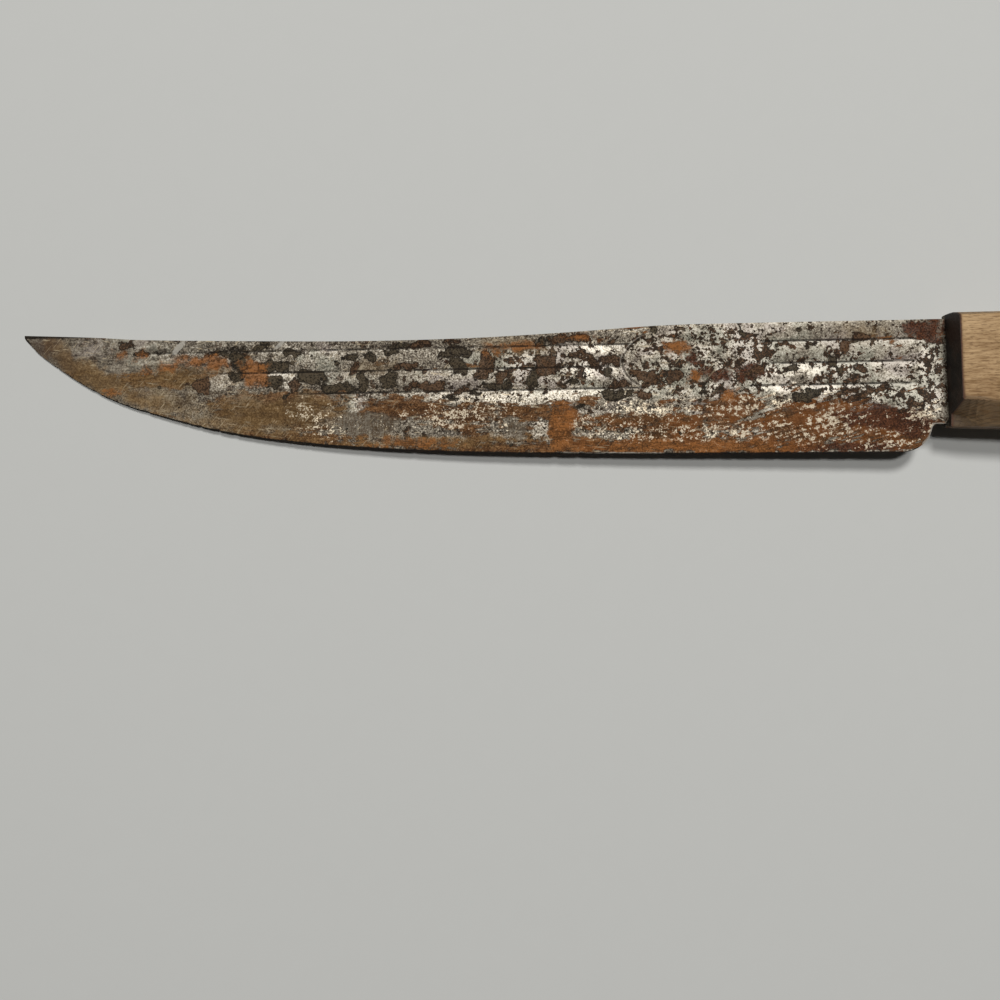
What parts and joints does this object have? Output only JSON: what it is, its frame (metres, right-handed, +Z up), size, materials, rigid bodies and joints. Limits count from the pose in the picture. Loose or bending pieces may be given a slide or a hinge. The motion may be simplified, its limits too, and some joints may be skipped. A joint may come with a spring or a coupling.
{
  "type": "butcher knife",
  "caption": "Old butcher knife lying on its side: rusty reeded steel blade, full tang, riveted wooden scales.",
  "frame": {"origin": "centre of the underside of the whole knife's bounding box, level with the flat face of the lower scale", "axes": "+X along the knife from the tip to the butt, +Y from the cutting edge to the spine, +Z up out of the marked face"},
  "size_m": [0.3814, 0.0372, 0.021],
  "materials": {
    "blade_steel": "old carbon steel, mottled grey with brown and orange rust, fine pits and cross-wise grinding marks",
    "handle_wood": "worn bare hardwood, short dark flecks along the grain, end grain stained nearly black",
    "rivet_brass": "dull aged brass, rubbed flush with the wood"
  },
  "bodies": {
    "root": {"blade": "blade_steel", "mark_side_scale": "handle_wood", "pile_side_scale": "handle_wood", "front_rivet_stud": "rivet_brass", "front_rivet_barrel": "rivet_brass", "middle_rivet_stud": "rivet_brass", "middle_rivet_barrel": "rivet_brass", "rear_rivet_stud": "rivet_brass", "rear_rivet_barrel": "rivet_brass"}
  },
  "joints": []
}
